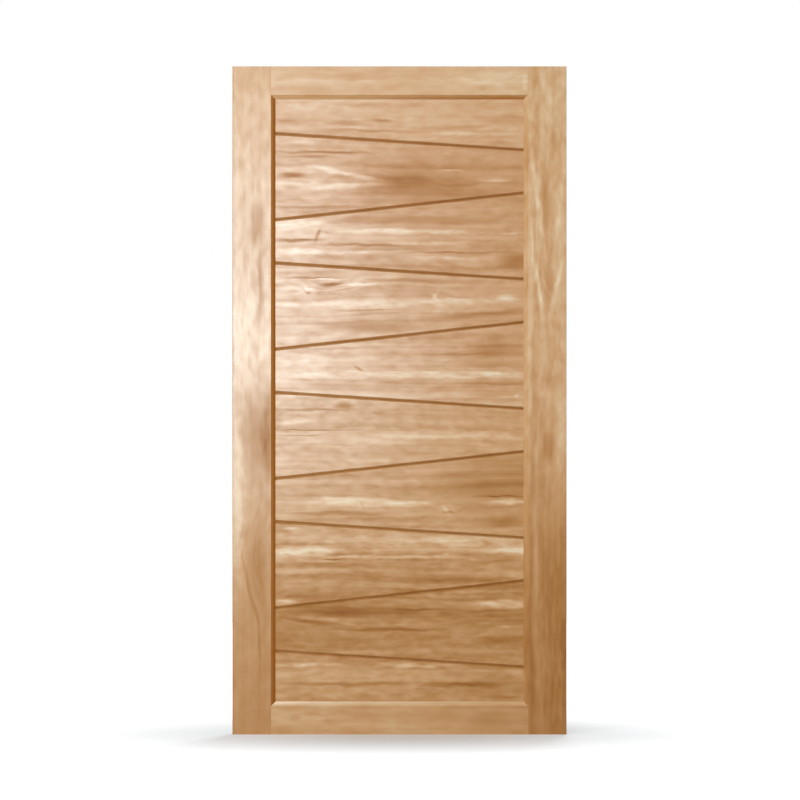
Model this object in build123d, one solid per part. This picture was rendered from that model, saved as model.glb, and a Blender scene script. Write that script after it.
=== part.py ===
from build123d import *
import math
import os

# A wooden door leaf. Two stiles and two rails are joined by wedged through tenons, and hold a panel of
# tapered boards that are tongued into each other and into the frame. The joints between the boards slant,
# falling and rising by turns, and show as V-joints on both faces.
# The origin is at the foot of the left edge, halfway through the thickness. +X runs across the leaf,
# +Y from the front face to the back, +Z up. Sizes are in millimetres.

# Leaf
leaf_width = 1200.0
leaf_height = 2400.0
leaf_thickness = 44.0
arris_radius = 2.0  # rounding of the two long outer corners of each stile

# Frame members, from their outer edge to the foot of their bevel
stile_width = 154.0
top_rail_width = 118.0
bottom_rail_width = 118.0

# Bevel round the panel, on both faces
bevel_width = 16.0
bevel_depth = 8.0

# Plough: the groove in the inner edge of each frame member, and the thickness of the tenons
plough_width = 14.0
plough_depth = 14.0

# Wedged through tenons
haunch_width = 38.0  # part of each tenon that is cut short beside the outer edge of its rail
wedge_length = 90.0
wedge_end = 6.0
wedge_tip = 0.8

# Boards
board_thickness = 24.0
board_wide_end = 310.0
board_narrow_end = 155.0
seam_fall = 58.0  # drop of a falling joint, from the left side of the panel to the right
least_edge_board = 90.0  # narrowest end that the top and bottom boards may have
seam_gap = 3.0  # open joint between the shoulders of two boards
seam_chamfer = 5.0
tongue_thickness = 8.0
tongue_reach = 9.0  # from the neighbour's shoulder to the tip
tip_gap = 1.0  # room left beyond the tip of every tongue
board_clearance = 0.1  # on each cheek of a tongue

# Values that follow from those above
panel_left = stile_width
panel_right = leaf_width - stile_width
panel_bottom = bottom_rail_width
panel_top = leaf_height - top_rail_width
panel_height = panel_top - panel_bottom
frame_tongue_thickness = plough_width - 2 * board_clearance
frame_tongue_length = plough_depth - tip_gap
seam_pitch = board_wide_end + board_narrow_end
seam_rise = board_wide_end - board_narrow_end - seam_fall
TINY = 1e-4


class Line:
    """A line across the panel, by its height at the panel's left and right sides."""

    def __init__(self, left, right, is_seam):
        self.left = left
        self.right = right
        self.is_seam = is_seam
        self.slope = (right - left) / (panel_right - panel_left)

    def height(self, x, shift=0.0):
        """Height at x of the line moved up by shift, measured square to the line."""
        return self.left + self.slope * (x - panel_left) + shift * math.hypot(1, self.slope)


def panel_lines():
    """The rails' inner edges and the seams between the boards, from the top down."""
    count = math.floor((panel_height - seam_fall - 2 * least_edge_board) / seam_pitch)
    edge_board = (panel_height - seam_fall - count * seam_pitch) / 2
    lines = [Line(panel_top, panel_top, False)]
    left = panel_top - edge_board
    for _ in range(count):
        lines.append(Line(left, left - seam_fall, True))
        rising = left - board_wide_end
        lines.append(Line(rising, rising + seam_rise, True))
        left -= seam_pitch
    lines.append(Line(left, left - seam_fall, True))
    lines.append(Line(panel_bottom, panel_bottom, False))
    return lines


def slab(points, thickness):
    """The outline of (x, z) points, made into a flat piece centred in the leaf's thickness."""
    outline = make_face(Polyline(*[(x, 0, z) for x, z in points], close=True))
    return extrude(outline, amount=thickness / 2, dir=(0, 1, 0), both=True)


def band(low, low_shift, high, high_shift, x_left, x_right, thickness):
    """A slab between two lines, each moved up by its shift."""
    points = [
        (x_left, low.height(x_left, low_shift)),
        (x_right, low.height(x_right, low_shift)),
        (x_right, high.height(x_right, high_shift)),
        (x_left, high.height(x_left, high_shift)),
    ]
    return slab(points, thickness)


def ease_seams(body, shoulders):
    """Chamfers the long edges of a board that lie on its seams, on both faces."""
    edges = [
        edge
        for edge in body.edges()
        for line, shift in shoulders
        if abs(edge.center().Y) > board_thickness / 2 - TINY
        and abs(edge.center().Z - line.height(edge.center().X, shift)) < TINY
    ]
    return chamfer(edges, length=seam_chamfer)


def board(high, low):
    """A tapered board: tongued at both ends and along its top, grooved along its foot."""
    outer_left = panel_left - frame_tongue_length
    outer_right = panel_right + frame_tongue_length
    top = -seam_gap / 2 if high.is_seam else 0.0
    foot = seam_gap / 2 if low.is_seam else 0.0
    body = band(low, foot, high, top, panel_left, panel_right, board_thickness)
    seams = [(line, shift) for line, shift in ((high, top), (low, foot)) if line.is_seam]
    body = ease_seams(body, seams)
    body += band(low, foot, high, top, outer_left, outer_right, frame_tongue_thickness)
    if high.is_seam:
        tip = seam_gap / 2 + tongue_reach
        body += band(high, top, high, tip, outer_left, outer_right, tongue_thickness)
    else:
        body += band(high, top, high, frame_tongue_length, outer_left, outer_right, frame_tongue_thickness)
    if low.is_seam:
        root = foot + tongue_reach + tip_gap
        groove_width = tongue_thickness + 2 * board_clearance
        body -= band(low, foot, low, root, outer_left, outer_right, groove_width)
    else:
        body += band(low, -frame_tongue_length, low, foot, outer_left, outer_right, frame_tongue_thickness)
    return body


def member_section(width):
    """Cross-section of a stile or rail: X from the outer edge to the inner edge, Y through the thickness."""
    half = leaf_thickness / 2
    foot = half - bevel_depth
    plough = plough_width / 2
    edge = [
        (0, half),
        (width - bevel_width, half),
        (width, foot),
        (width, plough),
        (width - plough_depth, plough),
    ]
    mirrored = [(x, -y) for x, y in reversed(edge)]
    return make_face(Polyline(*edge, *mirrored, close=True))


def plain_stile():
    """The left stile before its mortises are cut."""
    section = member_section(stile_width)
    outer = [corner for corner in section.vertices() if corner.X < TINY]
    return extrude(fillet(outer, radius=arris_radius), amount=leaf_height)


def tenon_span(rail_outer, rail_inner):
    """Lower and upper height of a rail's tenon, between its plough and its haunch."""
    towards_inner = math.copysign(1, rail_inner - rail_outer)
    ends = (rail_outer + towards_inner * haunch_width, rail_inner - towards_inner * plough_depth)
    return min(ends), max(ends)


def mortise(low, high):
    """The hole for a tenon through the left stile, flared towards the outer edge for the wedges."""
    points = [
        (stile_width, low),
        (wedge_length, low),
        (0, low - wedge_end),
        (0, high + wedge_end),
        (wedge_length, high),
        (stile_width, high),
    ]
    return slab(points, plough_width)


def wedge(start, side):
    """A wedge in the left stile that lies on a tenon's edge at height start, above it (1) or below it (-1)."""
    tip = wedge_length * (1 - wedge_tip / wedge_end)
    points = [(0, start), (tip, start), (tip, start + side * wedge_tip), (0, start + side * wedge_end)]
    return slab(points, plough_width)


def rail(outer, inner):
    """A rail with its shoulders scribed over the stiles' bevels, and a haunched tenon at each end."""
    width = abs(outer - inner)
    towards_inner = math.copysign(1, inner - outer)
    face_left = stile_width - bevel_width
    across = Plane(origin=(face_left, 0, outer), x_dir=(0, 0, towards_inner), z_dir=(1, 0, 0))
    bar = extrude(across * member_section(width), amount=leaf_width - 2 * face_left)
    stile = plain_stile()
    bar -= [stile, mirrored_across(stile)]
    low, high = tenon_span(outer, inner)
    tenon = slab([(0, low), (stile_width, low), (stile_width, high), (0, high)], plough_width)
    return bar + [tenon, mirrored_across(tenon)]


def mirrored_across(shape):
    """The same piece on the other side of the leaf."""
    middle = Plane(origin=(leaf_width / 2, 0, 0), z_dir=(1, 0, 0))
    return mirror(shape, about=middle)


def make_parts():
    """Every piece of the leaf, by its name."""
    rails = {"top": (leaf_height, panel_top), "bottom": (0.0, panel_bottom)}
    parts = {}
    stile = plain_stile()
    for place, (outer, inner) in rails.items():
        parts[f"{place}_rail"] = rail(outer, inner)
        low, high = tenon_span(outer, inner)
        stile -= mortise(low, high)
        for name, start, side in (("upper", high, 1), ("lower", low, -1)):
            piece = wedge(start, side)
            parts[f"{place}_left_{name}_wedge"] = piece
            parts[f"{place}_right_{name}_wedge"] = mirrored_across(piece)
    parts["left_stile"] = stile
    parts["right_stile"] = mirrored_across(stile)
    lines = panel_lines()
    for number, (high, low) in enumerate(zip(lines, lines[1:]), start=1):
        parts[f"board_{number:02d}"] = board(high, low)
    return parts


os.makedirs("parts", exist_ok=True)
for name, shape in make_parts().items():
    shape.label = name
    export_step(shape, f"parts/{name}.step")
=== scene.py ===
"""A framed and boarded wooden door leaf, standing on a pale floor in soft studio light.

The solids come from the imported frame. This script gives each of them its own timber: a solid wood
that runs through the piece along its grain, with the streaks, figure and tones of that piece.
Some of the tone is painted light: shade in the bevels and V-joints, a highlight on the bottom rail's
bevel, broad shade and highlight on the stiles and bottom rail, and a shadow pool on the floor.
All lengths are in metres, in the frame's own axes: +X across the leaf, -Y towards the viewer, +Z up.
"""
import math
from dataclasses import dataclass, field

import bpy
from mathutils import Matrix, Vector


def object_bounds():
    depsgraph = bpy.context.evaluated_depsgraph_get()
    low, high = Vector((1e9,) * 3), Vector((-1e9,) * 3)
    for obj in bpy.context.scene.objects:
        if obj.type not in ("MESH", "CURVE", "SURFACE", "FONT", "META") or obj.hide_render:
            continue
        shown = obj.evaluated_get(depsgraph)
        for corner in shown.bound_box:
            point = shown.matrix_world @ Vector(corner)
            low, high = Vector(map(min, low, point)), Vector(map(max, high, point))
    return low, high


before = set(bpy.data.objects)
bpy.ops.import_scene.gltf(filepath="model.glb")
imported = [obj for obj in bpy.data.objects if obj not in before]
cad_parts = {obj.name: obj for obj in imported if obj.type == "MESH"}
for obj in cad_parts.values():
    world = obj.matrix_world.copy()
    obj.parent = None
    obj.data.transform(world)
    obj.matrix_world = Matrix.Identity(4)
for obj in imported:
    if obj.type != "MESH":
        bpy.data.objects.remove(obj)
cad_low, cad_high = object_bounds()
leaf_centre = (Vector(cad_low) + Vector(cad_high)) / 2

# Axes that the grain can follow
ALONG_X = 0
ALONG_Z = 2

# Depth of the solids' bevels and V-joints below their faces
BEVEL_DEPTH = 0.008
CHAMFER_DEPTH = 0.005


@dataclass
class Lens:
    """A long soft spot in the tone: where it lies, how long and wide it is, and how much it adds. Most are
    streaks or knots in the wood; a few broad ones are painted shade or highlight.
    """

    x: float
    z: float
    length: float
    width: float
    amount: float
    tilt: float = 0.0  # how far it drifts across the grain for each metre along it


@dataclass
class Layer:
    """Streaks of one size: their changes in a metre along and across the grain, and how much they add."""

    along: float
    across: float
    detail: float
    amount: float
    roughness: float = 0.5


@dataclass
class Timber:
    """One piece's wood."""

    log: int  # each piece is cut from its own log, so its noise is its own
    grain: int = ALONG_X
    tone: float = 0.5  # 0 is the darkest wood of the leaf, 1 the palest
    gold: float = 0.5  # 0 is pinkish, 1 is golden
    figure: float = 1.0  # how plainly its bands and streaks show
    mottle: float = 1.0  # how plainly its short blotches show
    blotch: float = 0.045  # length of a blotch along the grain
    rings: float = 0.15  # how plainly its growth rings show
    bevel_tone: float = 0.0  # painted light on its bevels: a highlight above 0, shade below 0
    stain: tuple = (0.0, 0.0)  # share of painted shade in its bevels, and of dark stain with painted shade in its V-joints, at the leaf's left and right
    jointed: bool = False  # whether it meets its neighbours in V-joints
    seams: list = field(default_factory=list)  # (height, tone step) of glue lines between two widths
    streaks: list = field(default_factory=list)  # lenses that lighten or darken the wood; a few broad ones on the stiles and bottom rail are painted shade or highlight
    knots: list = field(default_factory=list)  # lenses that push the growth rings aside


# How far apart two pieces, and two glued widths of a piece, lie in the noise that makes their wood
PIECE_SHIFT = 2.37
WIDTH_SHIFT = 1.73
GLUE_LINE = 0.0012  # thickness of a glue line

# How far the grain wanders across a piece
DRIFT = Layer(0.8, 2.0, detail=1.0, amount=0.050)
SWELL = Layer(2.2, 9.0, detail=1.0, amount=0.030)
RIPPLE = Layer(13.0, 30.0, detail=2.0, amount=0.009)

# Lenses
LENS_CORE = 0.08  # share of a lens's radius that has its whole amount
LENS_SWAY = 0.02  # how far swell and ripple push a lens aside
BACK_SHIFT = 0.35  # how far along the grain a lens has moved on the back face
BACK_BLEND = 0.010  # depth on each side of the leaf's middle over which it moves

# How the tone changes, from broad bands down to single fibres
BANDS = Layer(1.0, 13.0, detail=2.0, amount=0.46)
PATCHES = Layer(9.0, 30.0, detail=1.5, amount=0.30)
FLECKS = Layer(16.0, 64.0, detail=1.0, amount=0.17)
LINES = Layer(12.0, 220.0, detail=2.0, amount=0.03)
FIBRES = Layer(30.0, 700.0, detail=2.0, amount=0.03, roughness=0.6)
PORES = Layer(70.0, 1500.0, detail=1.0, amount=-0.06)
PORE_START = 0.12  # noise at which a pore begins
PORE_FULL = 0.26  # noise at which it is whole
MOTTLE_AMOUNT = 0.20
MOTTLE_DETAIL = 1.5
BLOTCH_SHAPE = 2.2  # length of a blotch over its width
END_GRAIN_TONE = -0.16
END_GRAIN_START = 0.70  # how squarely a surface crosses the grain when end grain starts to show
END_GRAIN_FULL = 0.95
STREAK_BASE = 0.85  # share of a streak that flecks and mottle leave whole

# Growth rings in a metre, and how they slant through the leaf and strengthen at knots
BROAD_RINGS = 45.0
FINE_RINGS = 140.0
FINE_RING_SHARE = 0.15
RING_SLANT = 0.6
KNOT_RING_GAIN = 10.0

# Where an edge, and a face, turn into a bevel, by how squarely they face front or back (1 is square)
EDGE_TO_BEVEL = (0.45, 0.62)
FACE_TO_BEVEL = (0.97, 0.86)

# Painted shade in the bevels, and dark stain with painted shade in the V-joints: its reach from left to
# right, and its share at their upper edge, as it deepens towards their foot
STAIN_AND_SHADE_LEFT = 0.15
STAIN_AND_SHADE_RIGHT = 1.05
STAIN_AND_SHADE_AT_EDGE = 0.55

# Surface: the bare wood, and the varnish that lies thicker on pale wood
BARE_ROUGHNESS = 0.55
BARE_GLOSS = 0.10
VARNISH_ROUGHNESS = 0.265
THIN_VARNISH = 0.13
THIN_VARNISH_TONE = 0.27
FULL_VARNISH_TONE = 0.79
STAIN_AND_SHADE_MATTING = -4.0  # change in the varnish at full stain and painted shade
LINE_ROUGHNESS = 0.2
PORE_ROUGHNESS = 0.1
RELIEF_STRENGTH = 0.05
RELIEF_HEIGHT = 0.0004
FIBRE_RELIEF = 0.6
LINE_RELIEF = 0.5
PORE_RELIEF = -0.5

# Colours of the wood by its tone
PINKISH = [
    (0.00, (0.205, 0.056, 0.008)),
    (0.15, (0.321, 0.104, 0.025)),
    (0.30, (0.435, 0.170, 0.051)),
    (0.45, (0.526, 0.235, 0.083)),
    (0.60, (0.608, 0.313, 0.137)),
    (0.78, (0.670, 0.430, 0.240)),
    (1.00, (0.750, 0.600, 0.420)),
]
GOLDEN = [
    (0.00, (0.205, 0.054, 0.003)),
    (0.15, (0.302, 0.095, 0.012)),
    (0.30, (0.398, 0.166, 0.035)),
    (0.45, (0.492, 0.230, 0.065)),
    (0.60, (0.598, 0.306, 0.112)),
    (0.78, (0.700, 0.412, 0.190)),
    (1.00, (0.820, 0.580, 0.340)),
]
# Dark colour of the joint stain, also used as painted shade in the bevels and V-joints
STAIN_AND_SHADE = (0.350, 0.108, 0.009, 1.0)


class Graph:
    """Adds shader nodes to one material or world. Inputs are sockets, numbers or tuples."""

    def __init__(self, owner):
        self.tree = owner.node_tree

    def add(self, kind, inputs=None, **settings):
        """A new node with its settings and inputs."""
        node = self.tree.nodes.new(kind)
        for name, value in settings.items():
            setattr(node, name, value)
        for key, value in (inputs or {}).items():
            self.feed(node.inputs[key], value)
        return node

    def feed(self, socket, value):
        """Gives an input a value: a link if the value is a socket, or else the value itself."""
        if isinstance(value, bpy.types.NodeSocket):
            self.tree.links.new(value, socket)
        else:
            socket.default_value = value

    def math(self, operation, *values, clamp=False):
        """The result of an operation on numbers."""
        node = self.add("ShaderNodeMath", dict(enumerate(values)), operation=operation, use_clamp=clamp)
        return node.outputs[0]

    def vector(self, operation, *values):
        """The result of an operation on vectors: a number for LENGTH and DOT_PRODUCT, or else a vector."""
        node = self.add("ShaderNodeVectorMath", dict(enumerate(values)), operation=operation)
        return node.outputs["Value" if operation in ("LENGTH", "DOT_PRODUCT") else "Vector"]

    def combine(self, x, y, z):
        """A vector of three numbers."""
        return self.add("ShaderNodeCombineXYZ", {0: x, 1: y, 2: z}).outputs[0]

    def split(self, vector):
        """The three numbers of a vector."""
        return list(self.add("ShaderNodeSeparateXYZ", {0: vector}).outputs)

    def line_noise(self, value, scale, detail):
        """Noise about 0 that changes with one number alone."""
        inputs = {"W": self.math("MULTIPLY", value, scale), "Scale": 1.0, "Detail": detail}
        node = self.add("ShaderNodeTexNoise", inputs, noise_dimensions="1D")
        return self.math("SUBTRACT", node.outputs[0], 0.5)

    def noise(self, grain_place, layer):
        """Noise about 0, from roughly -0.5 to 0.5, in streaks of the layer's size."""
        inputs = {
            "Vector": self.vector("MULTIPLY", grain_place, (layer.along, layer.across, layer.across)),
            "Scale": 1.0,
            "Detail": layer.detail,
            "Roughness": layer.roughness,
        }
        node = self.add("ShaderNodeTexNoise", inputs)
        return self.math("SUBTRACT", node.outputs[0], 0.5)

    def band(self, value, start, end, low=0.0, high=1.0):
        """Goes smoothly from low at start to high at end."""
        inputs = {"Value": value, "From Min": start, "From Max": end, "To Min": low, "To Max": high}
        return self.add("ShaderNodeMapRange", inputs, interpolation_type="SMOOTHSTEP").outputs[0]

    def ramp(self, value, stops):
        """The colour at a value from 0 to 1, by stops of (place, colour)."""
        node = self.add("ShaderNodeValToRGB", {"Fac": value})
        elements = node.color_ramp.elements
        while len(elements) < len(stops):
            elements.new(0.5)
        for element, (place, colour) in zip(elements, stops):
            element.position = place
            element.color = (*colour, 1.0)
        return node.outputs[0]

    def mix(self, share, first, second):
        """A mix of two colours. The node's colour sockets are inputs 6 and 7 and output 2."""
        return self.add("ShaderNodeMix", {0: share, 6: first, 7: second}, data_type="RGBA").outputs[2]

    def total(self, *values):
        """The sum of values."""
        result = values[0]
        for value in values[1:]:
            result = self.math("ADD", result, value)
        return result

    def weighted(self, *pairs):
        """The sum of values, each times its weight."""
        return self.total(*[self.math("MULTIPLY", value, weight) for value, weight in pairs])


class Wood:
    """Builds the material of one piece. Its steps share the sockets that they need."""

    def __init__(self, name, timber):
        self.timber = timber
        self.material = bpy.data.materials.new(name)
        self.material.use_nodes = True
        self.graph = Graph(self.material)
        coordinates = self.graph.add("ShaderNodeTexCoord")
        place = self.graph.split(coordinates.outputs["Object"])
        normal = self.graph.split(coordinates.outputs["Normal"])
        self.along = place[timber.grain]
        self.across = place[ALONG_Z if timber.grain == ALONG_X else ALONG_X]
        self.from_left, self.through, _ = place
        self.end_facing = self.graph.math("ABSOLUTE", normal[timber.grain])
        self.face_facing = self.graph.math("ABSOLUTE", normal[1])

    def lay_grain(self):
        """Finds the place in the log: each glued width has its own, and the grain wanders."""
        graph = self.graph
        width_number = 0.0
        self.width_tone = 0.0
        for height, step in self.timber.seams:
            edge = graph.band(self.across, height - GLUE_LINE / 2, height + GLUE_LINE / 2)
            width_number = graph.math("ADD", width_number, edge)
            self.width_tone = graph.math("MULTIPLY_ADD", edge, step, self.width_tone)
        piece_start = self.timber.log * PIECE_SHIFT
        self.log_shift = graph.math("MULTIPLY_ADD", width_number, WIDTH_SHIFT, piece_start)
        log_along = graph.math("ADD", self.along, self.log_shift)
        log_through = graph.math("ADD", self.through, self.log_shift)
        log_place = graph.combine(log_along, self.across, log_through)
        drift, swell, ripple = [graph.noise(log_place, layer) for layer in (DRIFT, SWELL, RIPPLE)]
        wander = graph.weighted((drift, DRIFT.amount), (swell, SWELL.amount), (ripple, RIPPLE.amount))
        self.bent = graph.math("ADD", self.across, wander)
        self.grain_place = graph.combine(log_along, self.bent, log_through)
        back_shift = graph.band(self.through, -BACK_BLEND, BACK_BLEND, 0.0, BACK_SHIFT)
        sway = graph.weighted((swell, LENS_SWAY), (ripple, LENS_SWAY))
        lens_along = graph.math("ADD", self.along, back_shift)
        lens_across = graph.math("ADD", self.across, sway)
        self.lens_place = graph.combine(lens_along, lens_across, 0.0)

    def lens_value(self, lens):
        """A lens's amount at each point: whole in its middle, none at its rim."""
        graph = self.graph
        along, across = (lens.x, lens.z) if self.timber.grain == ALONG_X else (lens.z, lens.x)
        offset = graph.vector("SUBTRACT", self.lens_place, (along, across, 0.0))
        if lens.tilt:
            distance_along = graph.vector("DOT_PRODUCT", offset, (1.0, 0.0, 0.0))
            drift = graph.vector("MULTIPLY", distance_along, (0.0, lens.tilt, 0.0))
            offset = graph.vector("SUBTRACT", offset, drift)
        offset = graph.vector("MULTIPLY", offset, (2 / lens.length, 2 / lens.width, 0.0))
        return graph.band(graph.vector("LENGTH", offset), LENS_CORE, 1.0, lens.amount, 0.0)

    def growth_rings(self):
        """Tone of the growth rings, which knots push aside and strengthen."""
        graph = self.graph
        knots = [self.lens_value(knot) for knot in self.timber.knots]
        slanted = graph.math("MULTIPLY_ADD", self.through, RING_SLANT, self.bent)
        ring_field = graph.total(slanted, self.log_shift, *knots)
        broad_rings = graph.line_noise(ring_field, BROAD_RINGS, detail=1.0)
        fine_rings = graph.line_noise(ring_field, FINE_RINGS, detail=0.0)
        rings = graph.math("MULTIPLY_ADD", fine_rings, FINE_RING_SHARE, broad_rings)
        plain = self.timber.rings
        strength = graph.math("MULTIPLY_ADD", graph.total(0.0, *knots), KNOT_RING_GAIN * plain, plain)
        return graph.math("MULTIPLY", rings, strength)

    def mottle(self):
        """Short blotches of the piece's own length."""
        blotch = self.timber.blotch
        layer = Layer(1 / blotch, BLOTCH_SHAPE / blotch, MOTTLE_DETAIL, MOTTLE_AMOUNT)
        return self.graph.noise(self.grain_place, layer)

    def mix_tone(self):
        """Adds up the tone of the wood from its streaks, rings, lenses and end grain; a few broad lenses are
        painted shade or highlight.
        """
        graph = self.graph
        timber = self.timber
        layers = (BANDS, PATCHES, FLECKS, LINES, FIBRES, PORES)
        noises = [graph.noise(self.grain_place, layer) for layer in layers]
        bands, patches, flecks, self.lines, self.fibres, pore_noise = noises
        self.pores = graph.band(pore_noise, PORE_START, PORE_FULL)
        mottle = self.mottle()
        streaks = graph.total(0.0, *[self.lens_value(tone_lens) for tone_lens in timber.streaks])
        broken = graph.total(flecks, mottle, STREAK_BASE)
        end_grain = graph.band(self.end_facing, END_GRAIN_START, END_GRAIN_FULL)
        figure = graph.weighted(
            (bands, BANDS.amount * timber.figure),
            (patches, PATCHES.amount * timber.figure),
            (flecks, FLECKS.amount * timber.figure),
            (mottle, MOTTLE_AMOUNT * timber.mottle),
            (self.lines, LINES.amount * timber.figure),
            (self.fibres, FIBRES.amount),
            (streaks, broken),
            (self.pores, PORES.amount),
            (end_grain, END_GRAIN_TONE),
        )
        self.tone = graph.total(self.width_tone, timber.tone, figure, self.growth_rings())

    def stain_joints(self, face_depth, foot_depth):
        """Paints shade into the bevels, and dark stain with painted shade into the V-joints, more towards
        their foot; adds the bevels' painted light. The depths are from the leaf's middle.
        """
        graph = self.graph
        timber = self.timber
        not_an_edge = graph.band(self.face_facing, *EDGE_TO_BEVEL)
        not_a_face = graph.band(self.face_facing, *FACE_TO_BEVEL)
        bevelled = graph.math("MULTIPLY", not_an_edge, not_a_face)
        depth = graph.band(graph.math("ABSOLUTE", self.through), face_depth, foot_depth)
        strength = graph.math("MULTIPLY_ADD", depth, 1.0 - STAIN_AND_SHADE_AT_EDGE, STAIN_AND_SHADE_AT_EDGE)
        bevel_share = graph.math("MULTIPLY", bevelled, strength)
        # Painted light on the bevels: a highlight where the piece's value is above 0, shade where it is below
        self.tone = graph.math("MULTIPLY_ADD", bevel_share, timber.bevel_tone, self.tone)
        # Share of stain and painted shade: the whole bevel on a frame piece, the V-joint's depth on a board,
        # growing from the leaf's left to its right
        recess = depth if timber.jointed else bevel_share
        share = graph.band(self.from_left, STAIN_AND_SHADE_LEFT, STAIN_AND_SHADE_RIGHT, *timber.stain)
        self.stained = graph.math("MULTIPLY", recess, share, clamp=True)

    def dress(self):
        """Feeds the colour, relief and varnish to the shader."""
        graph = self.graph
        shader = self.material.node_tree.nodes["Principled BSDF"]
        # The wood's colour, with the dark stain and painted shade mixed in
        colour = graph.mix(self.stained, graph.ramp(self.tone, wood_colours(self.timber.gold)), STAIN_AND_SHADE)
        relief = graph.weighted(
            (self.fibres, FIBRE_RELIEF),
            (self.lines, LINE_RELIEF),
            (self.pores, PORE_RELIEF),
        )
        bump_inputs = {"Strength": RELIEF_STRENGTH, "Distance": RELIEF_HEIGHT, "Height": relief}
        bump = graph.add("ShaderNodeBump", bump_inputs)
        unevenness = graph.weighted((self.lines, LINE_ROUGHNESS), (self.pores, PORE_ROUGHNESS))
        varnish = graph.band(self.tone, THIN_VARNISH_TONE, FULL_VARNISH_TONE, THIN_VARNISH, 1.0)
        # The varnish thins where the stain and painted shade lie
        film = graph.math("MULTIPLY_ADD", self.stained, STAIN_AND_SHADE_MATTING, varnish, clamp=True)
        shader.inputs["Specular IOR Level"].default_value = BARE_GLOSS
        shader.inputs["Coat Roughness"].default_value = VARNISH_ROUGHNESS
        graph.feed(shader.inputs["Base Color"], colour)
        graph.feed(shader.inputs["Roughness"], graph.math("ADD", BARE_ROUGHNESS, unevenness))
        graph.feed(shader.inputs["Coat Weight"], film)
        graph.feed(shader.inputs["Coat Normal"], bump.outputs[0])
        graph.feed(shader.inputs["Normal"], bump.outputs[0])


def wood_colours(gold):
    """The ramp of one piece's colours, from dark to pale."""
    return [
        (place, tuple(Vector(pink).lerp(Vector(golden), gold)))
        for (place, pink), (_, golden) in zip(PINKISH, GOLDEN)
    ]


def wood_material(name, timber, face_depth):
    """The wood of a piece whose faces lie face_depth from the leaf's middle."""
    wood = Wood(name, timber)
    wood.lay_grain()
    wood.mix_tone()
    wood.stain_joints(face_depth, face_depth - (CHAMFER_DEPTH if timber.jointed else BEVEL_DEPTH))
    wood.dress()
    return wood.material


def stile(log, **looks):
    """A timber that stands upright."""
    return Timber(log=log, grain=ALONG_Z, **looks)


def board(log, stain=(0.30, 0.66), **looks):
    """A timber that lies across and meets its neighbours in V-joints."""
    return Timber(log=log, stain=stain, jointed=True, **looks)
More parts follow.
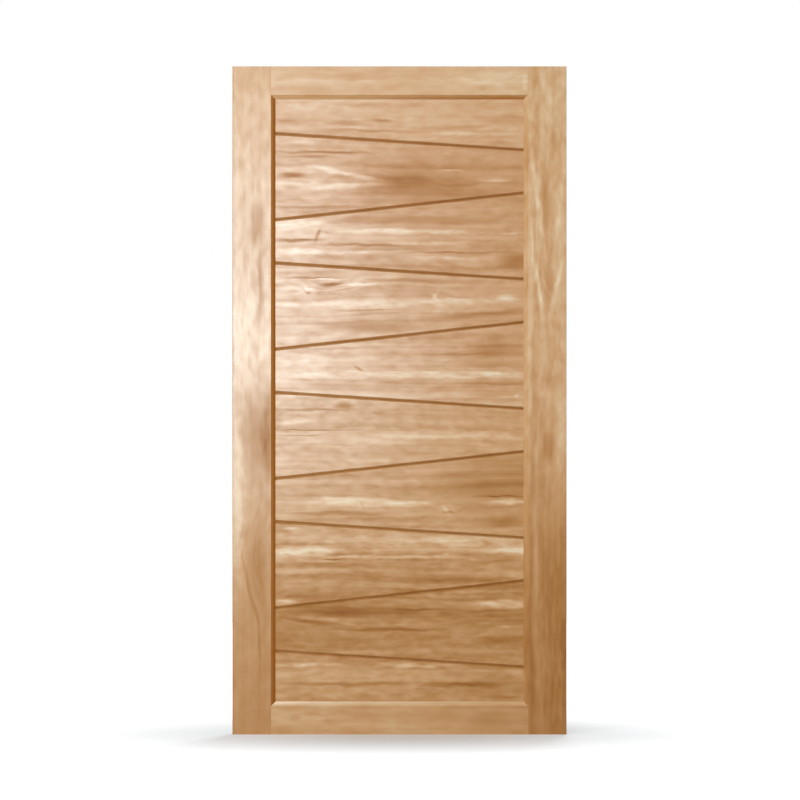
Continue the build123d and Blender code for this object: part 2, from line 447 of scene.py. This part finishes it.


# Each piece's wood, with its main streaks and knots where the photograph shows them
# A few broad lenses on the stiles and bottom rail are painted shade or highlight, marked where they stand
TIMBERS = {
    # Painted shade darkens its bevel, which faces away from the light
    "left_stile": stile(
        1, tone=0.56, gold=0.65, figure=0.32, mottle=1.1, blotch=0.06, rings=0.1, stain=(1.40, 1.40),
        streaks=[
            # Painted light: the four broad lenses at x 0.08 make the stile paler at the top and around the
            # varnish's sheen as painted highlight, and a little darker between them and towards its foot as
            # painted shade
            Lens(0.08, 2.30, 1.00, 0.60, 0.06),
            Lens(0.08, 1.78, 0.50, 0.40, -0.02),
            Lens(0.08, 1.43, 0.50, 0.40, 0.06),
            Lens(0.08, 0.20, 1.60, 0.80, -0.06),
            Lens(0.090, 1.84, 0.24, 0.06, -0.10),
            Lens(0.075, 1.78, 0.16, 0.04, -0.06),
            Lens(0.104, 1.60, 0.36, 0.03, -0.12),
            Lens(0.040, 1.45, 0.60, 0.08, 0.05),
            Lens(0.090, 1.07, 0.46, 0.20, -0.16),
            Lens(0.122, 1.06, 0.40, 0.05, -0.14),
            Lens(0.018, 0.80, 0.90, 0.08, 0.26),
            Lens(0.096, 0.62, 0.46, 0.10, -0.12),
            Lens(0.040, 0.68, 0.20, 0.022, -0.09, tilt=0.18),
            Lens(0.046, 0.58, 0.22, 0.022, -0.12, tilt=-0.20),
            Lens(0.072, 0.47, 0.24, 0.022, -0.11, tilt=-0.26),
            Lens(0.092, 0.33, 0.30, 0.022, -0.10, tilt=-0.06),
        ],
        knots=[Lens(0.084, 0.66, 0.40, 0.12, 0.04)],
    ),
    # A little painted shade on its bevel
    "right_stile": stile(
        2, tone=0.622, gold=0.65, figure=0.75, mottle=1.6, blotch=0.05, bevel_tone=-0.02,
        streaks=[
            # Painted shade: the stile darkens broadly towards its foot
            Lens(1.13, 0.30, 1.90, 0.70, -0.36),
            Lens(1.125, 1.92, 0.50, 0.05, -0.16),
            Lens(1.105, 1.88, 0.60, 0.030, 0.16, tilt=-0.14),
            Lens(1.172, 1.86, 0.60, 0.034, 0.14, tilt=0.12),
            Lens(1.140, 1.64, 0.34, 0.05, -0.14),
            Lens(1.098, 1.62, 0.56, 0.030, 0.24, tilt=-0.14),
            Lens(1.165, 1.60, 0.34, 0.030, 0.22, tilt=0.20),
            Lens(1.077, 1.75, 0.26, 0.018, 0.12),
            Lens(1.134, 1.03, 0.16, 0.05, -0.18),
            Lens(1.180, 1.04, 0.60, 0.06, 0.14),
            Lens(1.090, 0.50, 1.10, 0.03, 0.08),
            Lens(1.160, 0.36, 1.00, 0.05, -0.04),
            # Painted highlight: these two broad lenses make the stile a little paler near the top and middle
            Lens(1.13, 2.24, 0.70, 0.50, 0.09),
            Lens(1.13, 1.36, 0.50, 0.50, 0.03),
            Lens(1.150, 2.10, 0.40, 0.040, -0.10),
            Lens(1.100, 2.24, 0.34, 0.030, -0.10),
        ],
        knots=[Lens(1.138, 1.80, 0.80, 0.12, 0.05), Lens(1.145, 1.46, 0.50, 0.12, -0.04)],
    ),
    # Painted shade darkens its downward bevel, more towards the right
    "top_rail": Timber(
        3, tone=0.67, gold=0.55, figure=0.6, mottle=0.9, blotch=0.06, rings=0.1, stain=(0.10, 1.15),
        streaks=[
            Lens(0.94, 2.35, 0.60, 0.14, 0.15),
            Lens(1.052, 2.340, 0.03, 0.10, 0.16),
            Lens(0.235, 2.31, 0.34, 0.08, -0.10),
            Lens(0.40, 2.36, 0.30, 0.03, -0.08),
        ],
    ),
    # Painted highlight on its upward bevel, which faces the light
    "bottom_rail": Timber(
        4, tone=0.625, gold=0.8, figure=0.75, mottle=1.0, blotch=0.06, rings=0.1, bevel_tone=0.38,
        streaks=[
            # Painted shade: the rail darkens broadly towards its right end; the next lens makes its left end
            # a little paler as painted highlight
            Lens(1.00, 0.06, 1.00, 0.40, -0.12),
            Lens(0.22, 0.06, 0.44, 0.30, 0.06),
            Lens(0.50, 0.07, 0.50, 0.03, -0.06),
        ],
    ),
    "board_01": board(
        11, tone=0.61, gold=0.3, figure=0.58,
        streaks=[
            Lens(0.28, 2.255, 0.44, 0.060, 0.12),
            Lens(0.19, 2.206, 0.14, 0.040, -0.16),
            Lens(0.41, 2.195, 0.20, 0.030, -0.16),
            Lens(0.54, 2.204, 0.12, 0.020, -0.22),
            Lens(0.50, 2.172, 0.46, 0.016, -0.16),
            Lens(0.97, 2.210, 0.34, 0.050, -0.12),
            Lens(0.78, 2.182, 0.40, 0.018, -0.10),
            Lens(0.85, 2.160, 0.50, 0.024, 0.12),
        ],
    ),
    "board_02": board(
        12, tone=0.527, gold=0.25, figure=0.45,
        streaks=[
            Lens(0.24, 2.135, 0.36, 0.050, 0.10),
            Lens(0.32, 2.093, 0.56, 0.018, -0.26),
            Lens(0.28, 2.076, 0.26, 0.014, -0.16),
            Lens(0.30, 2.000, 0.44, 0.150, 0.04),
            Lens(0.26, 2.038, 0.26, 0.026, 0.12),
            Lens(0.216, 2.010, 0.13, 0.036, -0.30),
            Lens(0.25, 1.976, 0.24, 0.024, 0.12),
            Lens(0.41, 2.014, 0.34, 0.028, 0.24, tilt=-0.20),
            Lens(0.41, 1.972, 0.36, 0.026, 0.24, tilt=0.05),
            Lens(0.62, 1.990, 0.26, 0.080, -0.12),
            Lens(0.32, 1.890, 0.46, 0.030, -0.14),
            Lens(0.66, 1.985, 0.80, 0.280, -0.16),
            Lens(0.784, 2.028, 0.14, 0.014, 0.16),
            Lens(0.80, 1.985, 0.22, 0.050, -0.10),
            Lens(0.945, 1.994, 0.16, 0.026, 0.24),
        ],
        knots=[Lens(0.80, 1.990, 0.26, 0.08, 0.03)],
    ),
    "board_03": board(
        13, tone=0.535, gold=0.3, figure=0.58,
        streaks=[
            Lens(0.235, 1.834, 0.34, 0.060, 0.15),
            Lens(0.47, 1.844, 0.44, 0.050, -0.14),
            Lens(0.52, 1.806, 0.40, 0.022, 0.18),
            Lens(0.235, 1.774, 0.26, 0.018, -0.30),
            Lens(0.306, 1.792, 0.04, 0.050, -0.20, tilt=1.6),
            Lens(0.330, 1.804, 0.08, 0.018, -0.10),
            Lens(0.46, 1.762, 0.46, 0.020, -0.22),
            Lens(0.25, 1.735, 0.34, 0.050, 0.14),
            Lens(0.50, 1.735, 0.44, 0.020, 0.14),
            Lens(0.74, 1.850, 0.56, 0.050, -0.18),
            Lens(0.60, 1.780, 0.60, 0.240, -0.06),
            Lens(0.72, 1.806, 0.60, 0.028, 0.24),
            Lens(1.00, 1.803, 0.16, 0.020, 0.16),
            Lens(0.70, 1.769, 0.46, 0.020, 0.18),
            Lens(0.80, 1.733, 0.60, 0.014, -0.22),
            Lens(0.78, 1.710, 0.56, 0.030, 0.14),
            Lens(1.02, 1.700, 0.20, 0.090, -0.22),
        ],
    ),
    "board_04": board(
        14, tone=0.55, gold=0.3, figure=0.45, rings=0.2,
        streaks=[
            Lens(0.36, 1.616, 0.12, 0.024, -0.28),
            Lens(0.27, 1.640, 0.26, 0.014, -0.18),
            Lens(0.34, 1.634, 0.20, 0.010, 0.24),
            Lens(0.45, 1.612, 0.24, 0.014, 0.20),
            Lens(0.272, 1.588, 0.03, 0.018, -0.22),
            Lens(0.285, 1.600, 0.07, 0.014, 0.22),
            Lens(0.22, 1.600, 0.20, 0.060, 0.10),
            Lens(0.40, 1.548, 0.64, 0.040, 0.10),
            Lens(0.50, 1.525, 0.44, 0.012, -0.14),
            Lens(0.50, 1.465, 0.44, 0.070, -0.14),
            Lens(0.727, 1.574, 0.04, 0.030, 0.18, tilt=0.8),
            Lens(0.727, 1.572, 0.04, 0.030, 0.18, tilt=-0.8),
            Lens(0.995, 1.570, 0.16, 0.032, 0.20),
            Lens(0.80, 1.556, 0.80, 0.040, 0.16, tilt=0.07),
            Lens(0.88, 1.510, 0.60, 0.034, -0.20, tilt=0.08),
            Lens(0.66, 1.630, 0.50, 0.040, -0.12),
        ],
        knots=[Lens(0.35, 1.616, 0.30, 0.09, 0.05), Lens(0.28, 1.590, 0.09, 0.05, 0.03)],
    ),
    "board_05": board(
        15, tone=0.595, gold=0.35, figure=0.6, rings=0.25, seams=[(1.305, -0.03)],
        streaks=[
            Lens(0.25, 1.335, 0.44, 0.110, 0.08),
            Lens(0.455, 1.313, 0.06, 0.024, -0.18, tilt=-0.5),
            Lens(0.24, 1.294, 0.30, 0.016, 0.14),
            Lens(0.44, 1.304, 0.14, 0.014, 0.22),
            Lens(0.42, 1.286, 0.60, 0.034, 0.16),
            Lens(0.38, 1.250, 0.60, 0.040, -0.10),
            Lens(0.94, 1.380, 0.30, 0.100, -0.16),
            Lens(0.80, 1.368, 0.36, 0.014, -0.12),
            Lens(0.92, 1.330, 0.40, 0.030, -0.14),
            Lens(0.80, 1.294, 0.90, 0.044, 0.24),
            Lens(0.934, 1.296, 0.16, 0.024, 0.18),
            Lens(0.95, 1.262, 0.34, 0.026, -0.14),
            Lens(0.95, 1.220, 0.34, 0.026, -0.14),
            Lens(1.02, 1.216, 0.03, 0.014, 0.26),
        ],
    ),
    "board_06": board(
        16, tone=0.58, gold=0.7, figure=0.4, mottle=1.3, seams=[(1.09, -0.05)],
        streaks=[
            Lens(0.26, 1.216, 0.36, 0.016, 0.20),
            Lens(0.40, 1.182, 0.12, 0.030, -0.22),
            Lens(0.52, 1.154, 0.07, 0.018, -0.16),
            Lens(0.30, 1.168, 0.40, 0.016, -0.12),
            Lens(0.235, 1.122, 0.16, 0.044, 0.18),
            Lens(0.26, 1.094, 0.30, 0.010, -0.24),
            Lens(0.25, 1.076, 0.26, 0.010, -0.20),
            Lens(0.52, 1.056, 0.40, 0.050, 0.10),
            Lens(0.80, 1.072, 0.80, 0.040, 0.14),
        ],
    ),
    "board_07": board(
        17, tone=0.58, gold=0.75, figure=0.6, rings=0.2, seams=[(0.84, -0.03)],
        streaks=[
            Lens(0.98, 0.900, 0.64, 0.360, -0.14),
            Lens(0.50, 0.880, 0.50, 0.200, 0.03),
            Lens(0.44, 0.834, 0.50, 0.046, 0.22),
            Lens(0.41, 0.842, 0.24, 0.020, 0.20),
            Lens(0.465, 0.826, 0.03, 0.024, -0.14, tilt=-1.0),
            Lens(0.38, 0.794, 0.60, 0.026, -0.24),
            Lens(0.62, 0.830, 0.28, 0.026, 0.28),
            Lens(0.99, 0.833, 0.26, 0.022, 0.42),
            Lens(0.97, 0.851, 0.30, 0.010, -0.26),
            Lens(0.765, 0.812, 0.04, 0.030, 0.22, tilt=-0.9),
            Lens(0.775, 0.802, 0.06, 0.014, -0.22),
            Lens(0.98, 0.760, 0.26, 0.060, -0.22),
        ],
        knots=[Lens(0.773, 0.810, 0.13, 0.05, 0.03)],
    ),
    "board_08": board(
        18, stain=(0.25, 0.60), tone=0.51, gold=0.75, figure=0.95, mottle=1.5, rings=0.25,
        seams=[(0.618, 0.06)],
        streaks=[
            Lens(0.21, 0.740, 0.14, 0.016, 0.26),
            Lens(0.24, 0.660, 0.40, 0.056, 0.38),
            Lens(0.22, 0.657, 0.20, 0.020, 0.16),
            Lens(0.46, 0.638, 0.40, 0.020, 0.26),
            Lens(0.36, 0.630, 0.14, 0.014, -0.28),
            Lens(0.45, 0.690, 0.60, 0.060, 0.08),
            Lens(0.80, 0.690, 0.70, 0.050, 0.22),
            Lens(0.69, 0.634, 0.40, 0.022, 0.26),
            Lens(0.765, 0.645, 0.04, 0.022, 0.26),
            Lens(1.00, 0.657, 0.26, 0.054, 0.50),
            Lens(0.92, 0.620, 0.36, 0.018, -0.14),
            Lens(0.18, 0.474, 0.14, 0.028, 0.32),
            Lens(0.60, 0.570, 0.90, 0.070, -0.10),
        ],
    ),
    "board_09": board(
        19, stain=(0.20, 0.40), tone=0.44, gold=0.85, figure=0.75, mottle=1.3, rings=0.2,
        streaks=[
            Lens(0.40, 0.440, 0.66, 0.050, -0.28),
            Lens(0.28, 0.405, 0.36, 0.024, -0.24, tilt=-0.12),
            Lens(0.52, 0.378, 0.44, 0.024, -0.24),
            Lens(0.66, 0.446, 0.26, 0.016, -0.20),
            Lens(0.97, 0.470, 0.36, 0.050, 0.28),
            Lens(0.92, 0.444, 0.36, 0.012, -0.18),
            Lens(0.68, 0.374, 0.34, 0.016, -0.20),
            Lens(1.00, 0.384, 0.16, 0.016, 0.14),
            Lens(0.97, 0.338, 0.28, 0.040, -0.18),
            Lens(0.84, 0.510, 0.60, 0.040, 0.10),
        ],
    ),
    "board_10": board(
        20, stain=(0.20, 0.36), tone=0.565, gold=0.85, figure=0.75, mottle=1.7, seams=[(0.258, -0.05)],
        streaks=[
            Lens(0.28, 0.249, 0.40, 0.024, 0.26),
            Lens(0.64, 0.247, 0.40, 0.024, 0.24),
            Lens(0.42, 0.180, 0.60, 0.028, -0.22),
            Lens(0.83, 0.175, 0.44, 0.030, -0.30),
            Lens(1.02, 0.226, 0.10, 0.040, 0.12),
            Lens(0.98, 0.180, 0.60, 0.200, -0.09),
            Lens(0.98, 0.134, 0.26, 0.026, -0.14),
        ],
    ),
}
WEDGE = Timber(30, tone=0.3, gold=0.4)


def ease_edges(piece):
    """Joins the split corners of a solid and breaks its sharp edges by a hair."""
    weld = piece.modifiers.new("join", "WELD")
    weld.merge_threshold = 0.00002
    bevel = piece.modifiers.new("ease", "BEVEL")
    bevel.width = 0.0006
    bevel.segments = 2
    bevel.limit_method = "ANGLE"
    bevel.angle_limit = math.radians(20)
    bevel.harden_normals = True


def white_to_camera(graph):
    """1 for rays that show the background: seen directly, in gloss or through glass."""
    path = graph.add("ShaderNodeLightPath").outputs
    seen = graph.math("MAXIMUM", path["Is Camera Ray"], path["Is Glossy Ray"])
    return graph.math("MAXIMUM", seen, path["Is Transmission Ray"])


def build_world(ambient):
    """White to the eye, and a dimmer white as light."""
    world = bpy.data.worlds.new("studio")
    world.use_nodes = True
    bpy.context.scene.world = world
    graph = Graph(world)
    background = world.node_tree.nodes["Background"]
    level = graph.band(white_to_camera(graph), 0.0, 1.0, ambient, 1.0)
    graph.feed(background.inputs["Strength"], level)
    background.inputs["Color"].default_value = (1.0, 1.0, 1.0, 1.0)


def floor_paint():
    """A pale paint, greyer near the leaf as a painted shadow pool, that also shows the lamps' shadows there
    and fades to white further away.
    """
    fade_start = 0.05
    fade_end = 1.25
    least_white = 0.10
    sideways_stretch = 0.7
    material = bpy.data.materials.new("floor_paint")
    material.use_nodes = True
    graph = Graph(material)
    nodes = material.node_tree.nodes
    shader = nodes["Principled BSDF"]
    shader.inputs["Base Color"].default_value = (0.74, 0.74, 0.74, 1.0)
    shader.inputs["Roughness"].default_value = 0.9
    glow = graph.add("ShaderNodeEmission", {"Color": (1.0, 1.0, 1.0, 1.0), "Strength": 1.25})
    place = graph.add("ShaderNodeTexCoord").outputs["Object"]
    from_leaf = graph.vector("SUBTRACT", place, (leaf_centre.x, 0.0, 0.0))
    distance = graph.vector("LENGTH", graph.vector("MULTIPLY", from_leaf, (sideways_stretch, 1.0, 0.0)))
    # Less white glow near the leaf: a painted shadow pool round its foot
    share = graph.band(distance, fade_start, fade_end, least_white, 1.0)
    amount = graph.math("MULTIPLY", white_to_camera(graph), share)
    mixed = graph.add("ShaderNodeMixShader", {0: amount, 1: shader.outputs[0], 2: glow.outputs[0]})
    graph.feed(nodes["Material Output"].inputs["Surface"], mixed.outputs[0])
    return material


def build_floor(half_side):
    """A square floor under the leaf."""
    mesh = bpy.data.meshes.new("floor")
    corners = [(-1, -1), (1, -1), (1, 1), (-1, 1)]
    points = [(leaf_centre.x + half_side * a, half_side * b, 0.0) for a, b in corners]
    mesh.from_pydata(points, [], [(0, 1, 2, 3)])
    mesh.materials.append(floor_paint())
    floor = bpy.data.objects.new("floor", mesh)
    bpy.context.scene.collection.objects.link(floor)


def softbox(name, place, target, width, height, power, colour=(1.0, 1.0, 1.0)):
    """A soft light at place, turned to target, that the camera doesn't see."""
    light = bpy.data.lights.new(name, "AREA")
    light.shape = "RECTANGLE"
    light.size = width
    light.size_y = height
    light.energy = power
    light.color = colour
    lamp = bpy.data.objects.new(name, light)
    lamp.location = place
    lamp.rotation_euler = (Vector(target) - Vector(place)).to_track_quat("-Z", "Y").to_euler()
    lamp.visible_camera = False
    bpy.context.scene.collection.objects.link(lamp)


def build_lights():
    """A key from the upper left, a strip that the varnish mirrors at its left, and a fill for the back."""
    cool_white = (0.865, 0.97, 1.00)
    sheen_middle = (0.05, 0.0, 1.55)
    softbox("key", (-2.4, -4.6, 6.0), leaf_centre, width=1.8, height=1.8, power=140.0)
    softbox("sheen", (-0.18, -6.0, 1.72), sheen_middle, width=0.7, height=1.4, power=178.0, colour=cool_white)
    softbox("back_fill", (1.6, 4.2, 4.6), leaf_centre, width=1.8, height=1.8, power=206.0, colour=cool_white)


def build_camera():
    """A long lens straight in front of the leaf, framed as in the photograph."""
    image_side = 800.0
    metres_per_pixel = 0.003592
    leaf_middle_pixel = (399.5, 400.4)
    distance = 14.0
    camera = bpy.data.cameras.new("camera")
    camera.sensor_width = 36.0
    camera.lens = camera.sensor_width * distance / (image_side * metres_per_pixel)
    eye = bpy.data.objects.new("camera", camera)
    off_x = (image_side / 2 - leaf_middle_pixel[0]) * metres_per_pixel
    off_z = (leaf_middle_pixel[1] - image_side / 2) * metres_per_pixel
    eye.location = (leaf_centre.x + off_x, cad_low[1] - distance, leaf_centre.z + off_z)
    eye.rotation_euler = (math.radians(90), 0.0, 0.0)
    bpy.context.scene.collection.objects.link(eye)
    bpy.context.scene.camera = eye


for node_name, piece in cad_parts.items():
    timber = TIMBERS.get(node_name, WEDGE)
    piece.data.materials.clear()
    piece.data.materials.append(wood_material(f"{node_name}_wood", timber, piece.dimensions.y / 2))
    ease_edges(piece)

build_world(ambient=0.138)
build_floor(half_side=7.0)
build_lights()
build_camera()
bpy.context.scene.view_settings.view_transform = "Standard"
